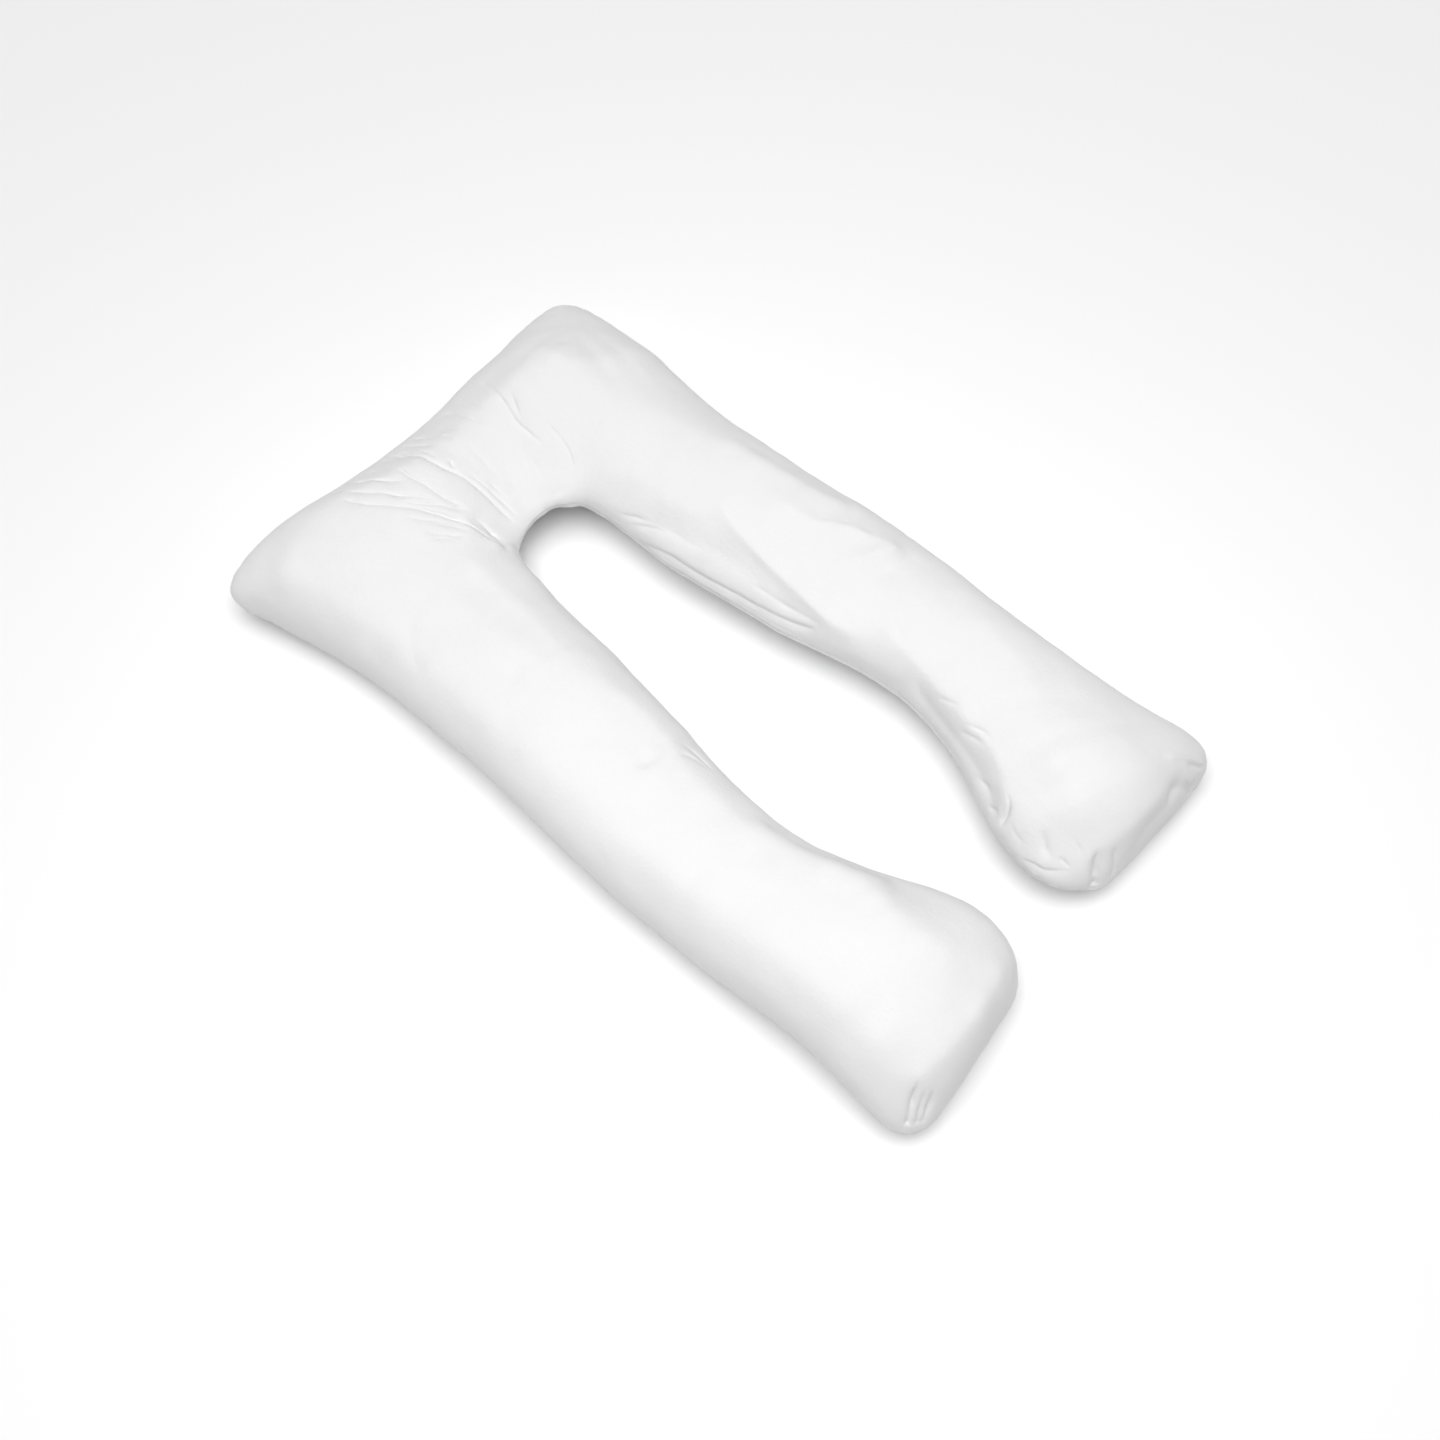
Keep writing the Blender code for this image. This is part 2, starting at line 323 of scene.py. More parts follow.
def surface_of(mesh):
    """A search tree of the mesh's faces, to find the surface under or beside a point."""
    return BVHTree.FromPolygons([vert.co for vert in mesh.vertices],
                                [face.vertices for face in mesh.polygons])


def smooth_along_skin(values, edges, rounds):
    """Averages each point's value with its neighbours', as often as rounds says."""
    count = np.zeros(len(values))
    np.add.at(count, edges.ravel(), 1)
    for _ in range(rounds):
        total = np.zeros_like(values)
        for axis in range(values.shape[1]):
            total[:, axis] = (
                np.bincount(edges[:, 0], values[edges[:, 1], axis], len(values))
                + np.bincount(edges[:, 1], values[edges[:, 0], axis], len(values)))
        values = (values + total / count[:, None]) / 2
    return values


def in_mm(length):
    return round(float(length) * 1000, 1)


print("casing: up to", in_mm(points_of(casing.data)[:, 2].max()), "mm high")

# %% A curve on the pillow, and how far each point is from it
FOLD_SPACING, FORM_SPACING = 3 * MM, 10 * MM
FROM_ABOVE = 1.0
MID_HEIGHT = 90 * MM
FAR_AWAY = 9.0
TINY = 1e-9


def line_through(points, spacing):
    """Evenly spaced points on the Catmull-Rom curve through points."""
    ends = np.vstack([2 * points[0] - points[1], points, 2 * points[-1] - points[-2]])
    line = []
    for before, start, stop, after in zip(ends, ends[1:], ends[2:], ends[3:]):
        steps = max(2, int(np.linalg.norm(stop - start) / spacing))
        t = np.linspace(0, 1, steps, endpoint=False)[:, None]
        line.append(0.5 * (2 * start + (stop - before) * t
                           + (2 * before - 5 * start + 4 * stop - after) * t**2
                           + (3 * start - before - 3 * stop + after) * t**3))
    return np.vstack(line + [points[-1:]])


def laid_on(surface, piece, spacing):
    """The curve of a fold or a form, let down onto the pillow."""
    laid = []
    for x, y in line_through(np.array(piece.points) * MM, spacing):
        spot = surface.ray_cast(Vector((x, y, FROM_ABOVE)), Vector((0, 0, -1)))[0]
        laid.append(spot or surface.find_nearest(Vector((x, y, MID_HEIGHT)))[0])
    return np.array(laid)


def boxed(points, line, reach):
    """Numbers of the points in a box that holds the line, with reach to spare."""
    low, high = line.min(axis=0) - reach, line.max(axis=0) + reach
    return np.where(((points > low) & (points < high)).all(axis=1))[0]


def nearest_on_line(points, line):
    """Distance to the line, place along it, the line's length, and the way off and along it."""
    best = np.full(len(points), FAR_AWAY)
    along = np.zeros(len(points))
    offset = np.zeros((len(points), 3))
    heading = np.zeros((len(points), 3))
    reached = 0.0
    for start, stop in zip(line, line[1:]):
        run = stop - start
        length = np.linalg.norm(run) + TINY
        share = np.clip((points - start) @ run / length**2, 0, 1)
        away = points - start - share[:, None] * run
        distance = np.linalg.norm(away, axis=1)
        closer = distance < best
        best[closer] = distance[closer]
        along[closer] = reached + share[closer] * length
        offset[closer] = away[closer]
        heading[closer] = run / length
        reached += length
    return best, along, reached, offset, heading


longest_fold = max(FOLDS, key=lambda fold: len(fold.points))
curve = laid_on(surface_of(casing.data), longest_fold, FOLD_SPACING)
print(longest_fold.name, "is", in_mm(np.linalg.norm(np.diff(curve, axis=0), axis=1).sum()),
      "mm long")

# %% How folds and forms move the skin
CREASE = 3.2
CREASE_LEAN = 1.9
FOLD_SPAN, FORM_SPAN = 8, 5
SHORTEST_FADE, FADE_WIDTHS, FADE_SHARE = 30 * MM, 3, 0.45
BANK_SPAN = 4
DRIFT_MARKS = 40
FOLD_DRIFT, FOLD_WAVES, FOLD_ROW = 0.5, 35.0, 0
FORM_DRIFT, FORM_WAVES, FORM_ROW = 0.4, 30.0, 5


def ease(value):
    """0 below 0, 1 above 1, and a smooth S between."""
    value = np.clip(value, 0, 1)
    return value * value * (3 - 2 * value)


def drift_along(name, along, length, waves, row):
    """Slow noise along a line: waves is how many to a metre, row picks one noise."""
    marks = np.linspace(0, length, DRIFT_MARKS)
    drift = [noise.noise(Vector((len(name), waves * mark, row))) for mark in marks]
    return np.interp(along, marks, drift)


def fold_relief(points, normals, surface, least_width=0):
    """How far each fold moves each point along its normal, all folds together."""
    relief = np.zeros(len(points))
    for fold in FOLDS:
        width = max(fold.width * MM, least_width)
        line = laid_on(surface, fold, FOLD_SPACING)
        near = boxed(points, line, FOLD_SPAN * width)
        distance, along, length, offset, heading = nearest_on_line(points[near], line)
        fade = min(max(SHORTEST_FADE, FADE_WIDTHS * width), FADE_SHARE * length)
        strength = ease(along / fade)
        if not fold.open_end:
            strength *= ease((length - along) / fade)
        drift = drift_along(fold.name, along, length, FOLD_WAVES, FOLD_ROW)
        strength *= 1 + FOLD_DRIFT * drift
        left = np.cross(normals[near], heading)
        side = np.sign(np.einsum("ij,ij->i", left, offset))
        across = distance / width
        if fold.width <= CREASE:
            across = np.where(side > 0, across, across / CREASE_LEAN)
        valley = -np.exp(1 - np.sqrt(1 + across**2 * 2))
        bank = 0.5 * side * np.tanh(across) * np.exp(-(across / BANK_SPAN)**2)
        relief[near] += MM * strength * (fold.depth * valley + fold.step * bank)
    return relief


def form_relief(points, surface):
    """How far the wide forms raise or lower each point."""
    relief = np.zeros(len(points))
    for form in FORMS:
        width, edge = form.width * MM, form.edge * MM
        line = laid_on(surface, form, FORM_SPACING)
        near = boxed(points, line, FORM_SPAN * width + edge)
        distance, along, length = nearest_on_line(points[near], line)[:3]
        drift = drift_along(form.name, along, length, FORM_WAVES, FORM_ROW)
        strength = form.height * MM * (1 + FORM_DRIFT * drift)
        relief[near] += strength * np.exp((edge - np.hypot(distance, edge)) / width)
    return relief


print("folds from", min(fold.width for fold in FOLDS), "to",
      max(fold.width for fold in FOLDS), "mm wide")

# %% [markdown]
# ## Filling it
#
# Blender's Cloth can hold an inner pressure, as stuffing does. It swells the casing, tightens
# the flat parts and lets spare cloth buckle. The folds are pressed in first, so the cloth
# buckles along them, and the cut of the cloth, its rest shape, is wider than the pillow round
# the opening and along the right thigh, where the real case has cloth to spare. A vertex group
# pins the underside and the seam. Only the fine part of what the solver does is kept, so the
# plump forms and the size stay those of the solid.

# %% Let spare cloth into the cut
# Metres on the pillow, and degrees round the top of the opening, from +X towards +Y.
SPARE_AT_HEAD = 45 * MM
SPARE_AT_THIGH = 45 * MM
OPENING_TOP = (-0.02, 0.385)
SPREAD_FROM, SPREAD_OVER = 60, 90
FAN_FROM, FAN_TO, FAN_EASE = 50, 165, 15
RIGHT_LEG, BELOW_HEAD = 0.03, 0.40
THIGH_FROM, THIGH_TO, THIGH_EASE = -0.24, 0.36, 0.10
THIGH_INSIDE, THIGH_OVER = 0.10, 0.12
LOOSE_MARGIN, LOOSE_EASE = 0.02, 0.06


def rises(value, start, over):
    """0 up to start, and 1 from a distance called over further on."""
    return ease((value - start) / over)


def falls(value, stop, over):
    return ease((stop - value) / over)


def cut_of_cloth(points):
    """The shape the cloth would like to have, and how loose each point is, from 0 to 1."""
    x, y = points[:, 0], points[:, 1]
    cut = points.copy()
    turn = np.degrees(np.arctan2(y - OPENING_TOP[1], x - OPENING_TOP[0]))
    turn = np.where(turn < -90, turn + 360, turn)
    cut[:, 0] += SPARE_AT_HEAD * (0.5 - rises(turn, SPREAD_FROM, SPREAD_OVER))
    thigh = (x > RIGHT_LEG) & (y < BELOW_HEAD)
    reach = rises(y, THIGH_FROM, THIGH_EASE) * falls(y, THIGH_TO, THIGH_EASE)
    spread = SPARE_AT_THIGH * (rises(x, THIGH_INSIDE, THIGH_OVER) - 0.5) * reach
    cut[thigh, 0] += spread[thigh]
    fan = (y > THIGH_TO) * rises(turn, FAN_FROM, FAN_EASE) * falls(turn, FAN_TO, FAN_EASE)
    loose = thigh * rises(y, THIGH_FROM + LOOSE_MARGIN, LOOSE_EASE)
    loose = loose * falls(y, THIGH_TO - LOOSE_MARGIN, LOOSE_EASE)
    return cut, np.maximum(fan, loose)


loose = cut_of_cloth(points_of(casing.data))[1]
print("spare cloth:", int((loose > 0).sum()), "points of", len(loose), "are loose")

# %% Blow the casing up
FILL_FRAMES = 20
PRESSED_FIRST = 0.3
HELD_LIGHTLY, HELD_AT_SEAM, SEAM_BAND = 0.08, 0.9, 0.18
UNDERSIDE = -0.2
SOLVER = {
    "quality": 5,
    "mass": 0.3,
    "tension_stiffness": 15,
    "compression_stiffness": 15,
    "shear_stiffness": 5,
    "bending_stiffness": 0.1,
    "use_pressure": True,
    "uniform_pressure_force": 4.0,
    "vertex_group_mass": "pinned",
    "pin_stiffness": 1.0,
}
FOLD_STRENGTH = 1.2
MOST_TRAVEL = 9 * MM
EVEN_ROUNDS = 60


def pin(obj, held):
    """A vertex group that holds each point as firmly as held says, in steps of 1 %."""
    group = obj.vertex_groups.new(name="pinned")
    shares = np.round(held * 100).astype(int)
    for share in np.unique(shares):
        group.add(np.where(shares == share)[0].tolist(), share / 100, "REPLACE")


def add_shape(obj, name, points):
    key = obj.shape_key_add(name=name, from_mix=False)
    key.data.foreach_set("co", points.astype(np.float32).ravel())
    return key


def run_solver(obj, rest):
    """Lets the cloth move for a few frames, then makes what it became the real mesh."""
    cloth = obj.modifiers.new("filling", "CLOTH")
    for name, value in SOLVER.items():
        setattr(cloth.settings, name, value)
    cloth.settings.effector_weights.gravity = 0
    cloth.settings.rest_shape_key = rest
    cloth.collision_settings.use_collision = False
    cloth.collision_settings.use_self_collision = False
    cloth.point_cache.frame_start = 1
    cloth.point_cache.frame_end = FILL_FRAMES
    scene = bpy.context.scene
    for number in range(1, FILL_FRAMES + 1):
        scene.frame_set(number)
    freeze(obj)
    scene.frame_set(1)
    obj.vertex_groups.clear()


def fill_casing(obj):
    mesh = obj.data
    plain, normals = points_of(mesh), normals_of(mesh)
    folds = fold_relief(plain, normals, surface_of(mesh), GRAIN)
    pressed = plain + normals * (PRESSED_FIRST * folds)[:, None]
    cut, loose = cut_of_cloth(plain)
    held = HELD_LIGHTLY * (1 - loose)
    held = np.maximum(held, HELD_AT_SEAM * np.exp(-(normals[:, 2] / SEAM_BAND)**2))
    held[normals[:, 2] < UNDERSIDE] = 1.0
    add_shape(obj, "pressed", pressed)
    rest = add_shape(obj, "cut_of_cloth", cut)
    move_points(mesh, pressed)
    pin(obj, held)
    run_solver(obj, rest)
    travel = points_of(obj.data) - plain
    length = np.linalg.norm(travel, axis=1)
    print("filling moved points by", in_mm(length.mean()), "mm, at most by",
          in_mm(length.max()), "mm")
    fine = travel - smooth_along_skin(travel, edges_of(obj.data), EVEN_ROUNDS)
    length = np.linalg.norm(fine, axis=1) * FOLD_STRENGTH
    fine *= (FOLD_STRENGTH * np.minimum(1, MOST_TRAVEL / np.maximum(length, TINY)))[:, None]
    move_points(obj.data, plain + fine)


fill_casing(casing)

# %% [markdown]
# ## Out to full size
#
# The skin goes back out by what it was made smaller, so the pillow is as large as the solid.
# Loose filling is never even, so slow swells of a millimetre or two are added, from a noise
# that is the same every time.

# %% Swell, with the filling's lumps
LUMPS = [(110 * MM, 2.2 * MM), (48 * MM, 1.2 * MM), (24 * MM, 0.3 * MM)]
SWELL_ROUNDS = 4


def keep_above_floor(points):
    points[:, 2] = np.maximum(points[:, 2], 0)


points = points_of(casing.data)
normals = smooth_along_skin(normals_of(casing.data), edges_of(casing.data), SWELL_ROUNDS)
swell = np.full(len(points), START_SMALLER)
for size, height in LUMPS:
    swell += height * np.array([noise.noise(Vector(point / size)) for point in points])
points += normals * swell[:, None]
keep_above_floor(points)
move_points(casing.data, points)
print("lumps: from", in_mm(swell.min()), "to", in_mm(swell.max()), "mm outwards")

# %% [markdown]
# ## Finer cloth
#
# One subdivision halves the grain to 3 mm. That is enough for the plump parts. The seam and
# the sharp folds need more, and get it later, so that the mesh stays light elsewhere.

# %% Subdivide everywhere once
finer = casing.modifiers.new("finer", "SUBSURF")
finer.levels = 1
finer.render_levels = 1
freeze(casing)
print("casing:", len(casing.data.vertices), "points after one subdivision")

# %% [markdown]
# ## Shoulders and hollows
#
# A stuffed limb isn't an even tube. The filling packs into plateaus, and the cloth runs down
# from the shoulder of a plateau almost straight, as a tent does from its ridge. So we lay each
# wide form on the skin as a tent: highest along its line, falling away on both sides, with a
# rounded ridge so that no crease shows. The underside is left alone, because it lies flat.

# %% Raise the shoulders and press in the hollows
FORM_ROUNDS = 12
TOP_SIDE = 0.5
points = points_of(casing.data)
normals = smooth_along_skin(normals_of(casing.data), edges_of(casing.data), FORM_ROUNDS)
relief = form_relief(points, surface_of(casing.data)) * ease(normals[:, 2] / TOP_SIDE)
points += normals * relief[:, None]
move_points(casing.data, points)
surface = surface_of(casing.data)
print("forms: from", in_mm(relief.min()), "to", in_mm(relief.max()), "mm")

# %% [markdown]
# ## The seam
#
# The two panels meet in a seam round the widest line of the pillow, where the skin stands
# upright. We find that line from the mesh itself, by the places where the normal turns from
# up to down, put them in order and smooth them.

# %% Find the seam line
SEAM_BELOW = 0.05
SEAM_ROUNDS, SEAM_WINDOW = 12, 25


def smooth_loop(values, window):
    """Running average of the values along a closed line."""
    padded = np.pad(values, window // 2, mode="wrap")
    return np.convolve(padded, np.ones(window) / window, "valid")


def longest_chain(links):
    """The longest run of linked numbers, in order."""
    longest, seen = [], set()
    for number in range(len(links)):
        if number in seen:
            continue
        chain, here = [], number
        while here is not None and here not in seen:
            seen.add(here)
            chain.append(here)
            here = next((other for other in links[here] if other not in seen), None)
        if len(chain) > len(longest):
            longest = chain
    return longest


def seam_line(mesh):
    """The closed line round the pillow where the skin stands upright."""
    points, edges = points_of(mesh), edges_of(mesh)
    upness = smooth_along_skin(normals_of(mesh)[:, 2:], edges, SEAM_ROUNDS)[:, 0] + SEAM_BELOW
    first, second = upness[edges[:, 0]], upness[edges[:, 1]]
    crossing = np.where(first * second < 0)[0]
    share = first[crossing] / (first[crossing] - second[crossing])
    start, stop = points[edges[crossing, 0]], points[edges[crossing, 1]]
    spots = start + share[:, None] * (stop - start)
    place = {int(edge): number for number, edge in enumerate(crossing)}
    links = [[] for _ in crossing]
    for face in mesh.polygons:
        cut = [place[edge] for edge in (mesh.loops[i].edge_index for i in face.loop_indices)
               if edge in place]
        if len(cut) == 2:
            links[cut[0]].append(cut[1])
            links[cut[1]].append(cut[0])
    line = spots[longest_chain(links)]
    return np.column_stack([smooth_loop(line[:, axis], SEAM_WINDOW) for axis in range(3)])


seam = seam_line(casing.data)
seam_places = np.concatenate(
    [[0], np.cumsum(np.linalg.norm(np.diff(seam, axis=0), axis=1))])
print("seam:", round(float(seam_places[-1]), 2), "m long")

# %% [markdown]
# ## Sewing and creasing
#
# Now the fine work. Squares near the seam and the folds are cut once more, and those along the
# narrowest folds once again. Then every point is moved along the skin's smoothed normal: down
# into the seam's stitch line and up onto its two lips, in and out where the seam puckers, and
# down into the folds at their full depth. Sewing gathers cloth most where a seam turns sharply,
# so the puckers grow with its bend.

# %% Cut the squares near the seam and the folds once more
SEAM_REACH = 9 * MM
FINE_FOLD, FOLD_REACH = 7, 3.5
CREASE_REACH = 2.2
seam_tree = KDTree(len(seam))
for number, spot in enumerate(seam):
    seam_tree.insert(spot, number)
seam_tree.balance()


def from_seam(points, reach):
    """Distance of each point to the seam, up to reach, and the seam point nearest to it."""
    distance = np.full(len(points), FAR_AWAY)
    nearest = np.zeros(len(points), dtype=int)
    for number, point in enumerate(points):
        found = seam_tree.find(point)
        if found[2] < reach:
            distance[number], nearest[number] = found[2], found[1]
    return distance, nearest


def near_folds(points, reach, widest):
    """Which points lie within reach widths of a fold no wider than widest."""
    near = np.zeros(len(points), dtype=bool)
    for fold in FOLDS:
        if fold.width <= widest:
            line = laid_on(surface, fold, FOLD_SPACING)
            span = reach * fold.width * MM
            close = boxed(points, line, span)
            near[close[nearest_on_line(points[close], line)[0] < span]] = True
    return near


def cut_finer(mesh, fine):
    """Halves the squares whose corners are all fine."""
    cloth = bmesh.new()
    cloth.from_mesh(mesh)
    cloth.verts.ensure_lookup_table()
    edges = [edge for edge in cloth.edges
             if fine[edge.verts[0].index] and fine[edge.verts[1].index]]
    bmesh.ops.subdivide_edges(cloth, edges=edges, cuts=1, use_grid_fill=True)
    cloth.to_mesh(mesh)
    cloth.free()


points = points_of(casing.data)
by_seam = from_seam(points, SEAM_REACH)[0] < SEAM_REACH
cut_finer(casing.data, by_seam | near_folds(points, FOLD_REACH, FINE_FOLD))
cut_finer(casing.data, near_folds(points_of(casing.data), CREASE_REACH, CREASE))
print("casing:", len(casing.data.vertices), "points with the fine parts cut")

# %% Press in the seam, the puckers and the folds
STITCH_DEPTH, STITCH_WIDTH = 1.4 * MM, 1.8 * MM
LIP_HEIGHT, LIP_AT, LIP_WIDTH = 0.5 * MM, 4.5 * MM, 2.5 * MM
PUCKER_REACH = 60 * MM
LEAST_GATHER = 0.35
BEND_STEP, BEND_WINDOW = 12, 41
TOP_PANEL, BOTTOM_PANEL = 5.0, 25.0
Pucker = namedtuple("Pucker", "height length fades_over row")
PUCKERS = [Pucker(1.1, 9, 9, 0), Pucker(2.0, 26, 22, 40)]
RELIEF_ROUNDS = 8


def one_long(vectors):
    return vectors / np.linalg.norm(vectors, axis=1)[:, None]


def seam_bend():
    """How sharply the seam turns at each of its points, from 0, straight, to 1."""
    ahead = one_long(np.roll(seam, -BEND_STEP, axis=0) - seam)
    behind = one_long(seam - np.roll(seam, BEND_STEP, axis=0))
    turn = np.arccos(np.clip((ahead * behind).sum(axis=1), -1, 1))
    turn = smooth_loop(turn, BEND_WINDOW)
    return np.clip(turn / turn.max(), 0, 1)


def seam_relief(points, normals):
    """The stitch line, its lips, and the puckers, which differ on the two panels."""
    distance, nearest = from_seam(points, PUCKER_REACH)
    stitch = (-STITCH_DEPTH * np.exp(-(distance / STITCH_WIDTH)**2)
              + LIP_HEIGHT * np.exp(-((distance - LIP_AT) / LIP_WIDTH)**2))
    gather = LEAST_GATHER + (1 - LEAST_GATHER) * seam_bend()[nearest]
    relief = np.zeros(len(points))
    for index in np.where(distance < PUCKER_REACH)[0]:
        place, away = seam_places[nearest[index]] * 1000, distance[index] * 1000
        panel = TOP_PANEL if normals[index, 2] > 0 else BOTTOM_PANEL
        relief[index] = MM * gather[index] * sum(
            pucker.height * noise.noise(Vector((place / pucker.length, panel, pucker.row)))
            * math.exp(-away / pucker.fades_over) for pucker in PUCKERS)
    return stitch + relief


points = points_of(casing.data)
normals = one_long(smooth_along_skin(
    normals_of(casing.data), edges_of(casing.data), RELIEF_ROUNDS))
relief = fold_relief(points, normals, surface) + seam_relief(points, normals)
points += normals * relief[:, None]
keep_above_floor(points)
move_points(casing.data, points)
casing.data.shade_smooth()
print("folds and seam: deepest", in_mm(relief.min()), "mm, highest", in_mm(relief.max()), "mm")

# %% [markdown]
# ## The cloth's finish
#
# The case is plain white cotton: matt, with a faint sheen at a grazing angle, and woven so
# finely that the weave only shows close up. The weave is a node group that crosses two sets of
# threads, laid on the top, the sides and the ends by which way the skin faces. A second group
# gives the slight unevenness of washed cloth.

# %% Node helpers
def add_node(tree, kind, **values):
    node = tree.nodes.new(kind)
    for name, value in values.items():
        setattr(node, name, value)
    return node


def set_inputs(node, **values):
    """Sets a node's inputs by name, with _ for each space."""
    for name, value in values.items():
        node.inputs[name.replace("_", " ")].default_value = value


def maths(tree, operation, first, second=None):
    node = add_node(tree, "ShaderNodeMath", operation=operation)
    for socket, value in zip(node.inputs, (first, second)):
        if hasattr(value, "is_linked"):
            tree.links.new(value, socket)
        elif value is not None:
            socket.default_value = value
    return node.outputs[0]


def node_group(name, inputs, outputs):
    """A new group with its number inputs, their usual values, and its number outputs."""
    tree = bpy.data.node_groups.new(name, "ShaderNodeTree")
    for label, value in inputs.items():
        socket = tree.interface.new_socket(
            label, in_out="INPUT", socket_type="NodeSocketFloat")
        socket.default_value = value
    for label in outputs:
        tree.interface.new_socket(label, in_out="OUTPUT", socket_type="NodeSocketFloat")
    return tree, add_node(tree, "NodeGroupInput"), add_node(tree, "NodeGroupOutput")


# %% The weave, and the unevenness of washed cloth
THREADS_PER_METRE = 900.0
PATCH_SIZE, CREPE_SIZE = 18.0, 160.0
FACING_SHARPNESS = 3.0


def weave_group():
    """Height of a plain weave: threads over and under, by the side that the skin faces."""
    tree, given, result = node_group(
        "plain_weave", {"Threads per metre": THREADS_PER_METRE}, ["Height"])
    place = add_node(tree, "ShaderNodeTexCoord")
    axes = add_node(tree, "ShaderNodeSeparateXYZ")
    tree.links.new(place.outputs["Object"], axes.inputs[0])
    facing = add_node(tree, "ShaderNodeSeparateXYZ")
    tree.links.new(place.outputs["Normal"], facing.inputs[0])
    waves = []
    for axis in range(3):
        turns = maths(tree, "MULTIPLY", axes.outputs[axis], given.outputs[0])
        waves.append(maths(tree, "SINE", maths(tree, "MULTIPLY", turns, math.pi)))
    total = None
    for across, (first, second) in enumerate(((1, 2), (0, 2), (0, 1))):
        crossing = maths(tree, "MULTIPLY", waves[first], waves[second])
        faced = maths(tree, "ABSOLUTE", facing.outputs[across])
        share = maths(tree, "POWER", faced, FACING_SHARPNESS)
        part = maths(tree, "MULTIPLY", crossing, share)
        total = part if total is None else maths(tree, "ADD", total, part)
    tree.links.new(total, result.inputs["Height"])
    return tree


def wash_group():
    """Soft unevenness of washed cloth: a mask from 0 to 1, and the height of its creping."""
    tree, given, result = node_group(
        "washed_cloth", {"Patch size": PATCH_SIZE, "Crepe size": CREPE_SIZE},
        ["Patches", "Crepe"])
    place = add_node(tree, "ShaderNodeTexCoord")
    for output, size, detail in (("Patches", 0, 4.0), ("Crepe", 1, 3.0)):
        cloud = add_node(tree, "ShaderNodeTexNoise")
        cloud.inputs["Detail"].default_value = detail
        tree.links.new(place.outputs["Object"], cloud.inputs["Vector"])
        tree.links.new(given.outputs[size], cloud.inputs["Scale"])
        tree.links.new(cloud.outputs["Fac"], result.inputs[output])
    return tree


plain_weave, washed_cloth = weave_group(), wash_group()
print("groups:", plain_weave.name, "and", washed_cloth.name)

# %% White cotton
WHITE, SHADE = (0.815, 0.815, 0.815, 1.0), (0.785, 0.785, 0.785, 1.0)
SMOOTHEST, ROUGHEST = 0.62, 0.72
CREPE_HEIGHT, THREAD_HEIGHT = 0.5 * MM, 0.06 * MM
cotton = bpy.data.materials.new("white_cotton")
cotton.use_nodes = True
tree = cotton.node_tree
shader = tree.nodes["Principled BSDF"]
set_inputs(shader, Specular_IOR_Level=0.3, Sheen_Weight=0.08, Sheen_Roughness=0.5)
weave = add_node(tree, "ShaderNodeGroup", node_tree=plain_weave)
set_inputs(weave, Threads_per_metre=THREADS_PER_METRE)
wash = add_node(tree, "ShaderNodeGroup", node_tree=washed_cloth)
set_inputs(wash, Patch_size=PATCH_SIZE, Crepe_size=CREPE_SIZE)
tint = add_node(tree, "ShaderNodeMix", data_type="RGBA")
tree.links.new(wash.outputs["Patches"], tint.inputs["Factor"])
set_inputs(tint, A=SHADE, B=WHITE)
tree.links.new(tint.outputs["Result"], shader.inputs["Base Color"])
rough = add_node(tree, "ShaderNodeMapRange")
set_inputs(rough, To_Min=SMOOTHEST, To_Max=ROUGHEST)
tree.links.new(wash.outputs["Patches"], rough.inputs["Value"])
tree.links.new(rough.outputs["Result"], shader.inputs["Roughness"])
crepe = add_node(tree, "ShaderNodeBump")
set_inputs(crepe, Strength=1.0, Distance=CREPE_HEIGHT)
tree.links.new(wash.outputs["Crepe"], crepe.inputs["Height"])
threads = add_node(tree, "ShaderNodeBump")
set_inputs(threads, Strength=1.0, Distance=THREAD_HEIGHT)
tree.links.new(weave.outputs["Height"], threads.inputs["Height"])
tree.links.new(crepe.outputs["Normal"], threads.inputs["Normal"])
tree.links.new(threads.outputs["Normal"], shader.inputs["Normal"])
casing.data.materials.clear()
casing.data.materials.append(cotton)

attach(casing, "root")
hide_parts("pillow_body")
print("cotton:", len(tree.nodes), "nodes")

# %% [markdown]
# ## Floor, light and camera
#
# The floor is pale and matt. The light is soft and comes from above, as in a white studio: a
# ceiling so wide that its shadows have no edge, and a softbox above the outer side of the left
# leg, which leaves the head a little darker than the feet. The surround itself gives almost no
# light, so that the sides of the pillow turn grey, but the camera sees it as plain white.

# %% Floor
FLOOR_REACH = 8
PALE = (0.93, 0.93, 0.93, 1.0)
sheet = bmesh.new()
bmesh.ops.create_grid(sheet, x_segments=1, y_segments=1, size=FLOOR_REACH)
floor_mesh = bpy.data.meshes.new("floor")
sheet.to_mesh(floor_mesh)
sheet.free()
floor = new_object("floor", floor_mesh)
floor_material = bpy.data.materials.new("pale_floor")
floor_material.use_nodes = True
floor_shader = floor_material.node_tree.nodes["Principled BSDF"]
set_inputs(floor_shader, Base_Color=PALE, Roughness=1.0, Specular_IOR_Level=0.0)
floor_mesh.materials.append(floor_material)
print("floor:", 2 * FLOOR_REACH, "m square")

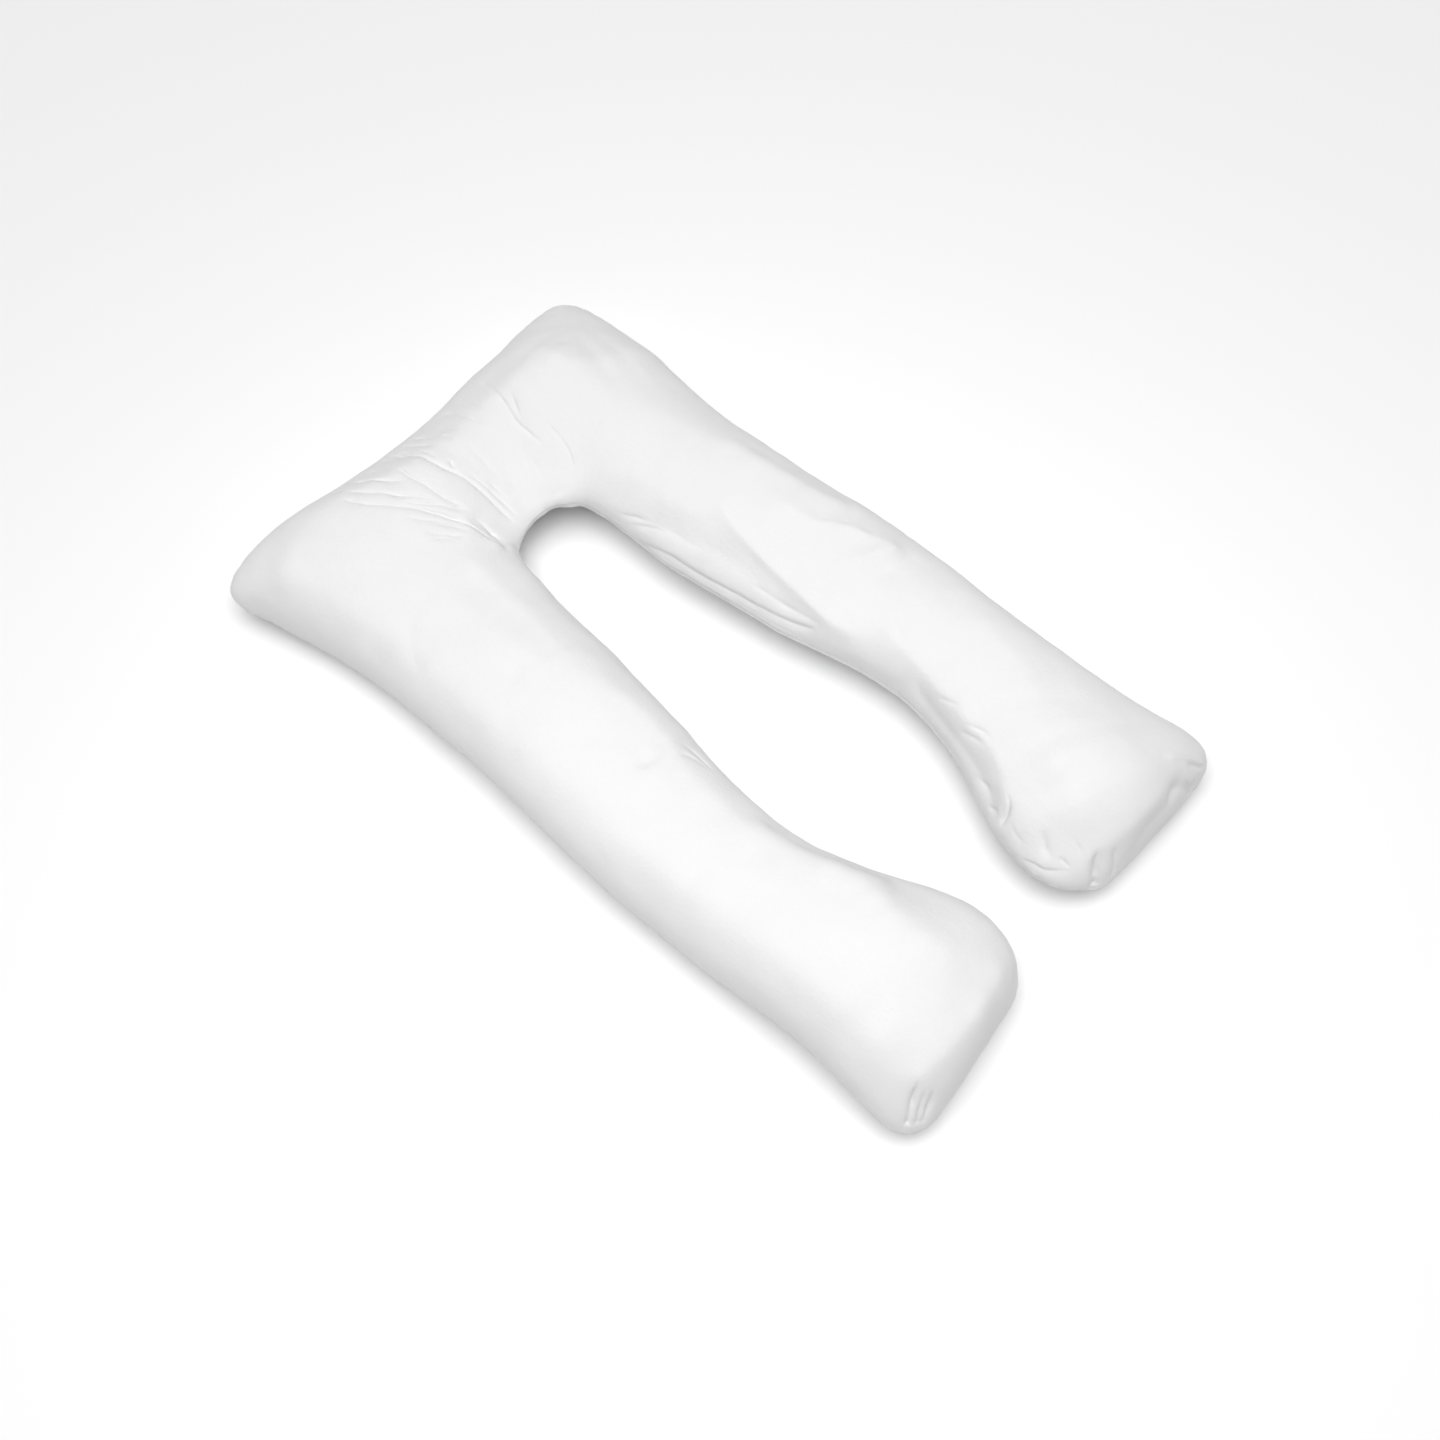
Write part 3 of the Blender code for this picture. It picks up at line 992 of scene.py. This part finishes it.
# %% Surround
SURROUND_LIGHT = 0.03
world = bpy.data.worlds.new("studio")
world.use_nodes = True
tree = world.node_tree
surround = tree.nodes["Background"]
set_inputs(surround, Color=(1.0, 1.0, 1.0, 1.0))
seen = add_node(tree, "ShaderNodeLightPath")
amount = add_node(tree, "ShaderNodeMapRange")
set_inputs(amount, To_Min=SURROUND_LIGHT, To_Max=1.0)
tree.links.new(seen.outputs["Is Camera Ray"], amount.inputs["Value"])
tree.links.new(amount.outputs["Result"], surround.inputs["Strength"])
bpy.context.scene.world = world
bpy.context.scene.view_settings.view_transform = "Standard"
print("surround:", SURROUND_LIGHT, "of full light")

# %% Ceiling and softbox
CEILING_WIDTH, CEILING_LEAN, CEILING_SIDE = (math.radians(angle) for angle in (70, 3, 240))
CEILING_AT, CEILING_ENERGY = (0, 0, 3), 2.68
SOFTBOX_AT, SOFTBOX_SIZE, SOFTBOX_WATTS = (-0.38, -0.34, 1.88), 1.2, 11.4

ceiling = bpy.data.lights.new("ceiling", "SUN")
ceiling.angle = CEILING_WIDTH
ceiling.energy = CEILING_ENERGY
towards_light = Vector((math.sin(CEILING_LEAN) * math.sin(CEILING_SIDE),
                        math.sin(CEILING_LEAN) * math.cos(CEILING_SIDE),
                        math.cos(CEILING_LEAN)))
ceiling_object = new_object("ceiling", ceiling)
ceiling_object.location = CEILING_AT
ceiling_object.rotation_euler = (-towards_light).to_track_quat("-Z", "Y").to_euler()

softbox = bpy.data.lights.new("softbox", "AREA")
softbox.shape = "SQUARE"
softbox.size = SOFTBOX_SIZE
softbox.energy = SOFTBOX_WATTS
new_object("softbox", softbox).location = SOFTBOX_AT
print("softbox:", SOFTBOX_AT[2], "m above the floor")

# %% Camera
LENS, SENSOR = 35, 36
TURN, RISE, ROLL = (math.radians(angle) for angle in (-44.14, 62.95, -4.36))
LOOKS_AT = Vector((-0.0275, -0.0607, 0))
CAMERA_DISTANCE = 2.2476
camera = new_object("camera", bpy.data.cameras.new("camera"))
camera.data.lens = LENS
camera.data.sensor_width = SENSOR
back = Vector((math.sin(TURN) * math.cos(RISE), -math.cos(TURN) * math.cos(RISE),
               math.sin(RISE)))
camera.location = LOOKS_AT + back * CAMERA_DISTANCE
camera.rotation_mode = "QUATERNION"
camera.rotation_quaternion = Quaternion(back, ROLL) @ (-back).to_track_quat("-Z", "Y")
bpy.context.scene.camera = camera
print("camera:", CAMERA_DISTANCE, "m away")
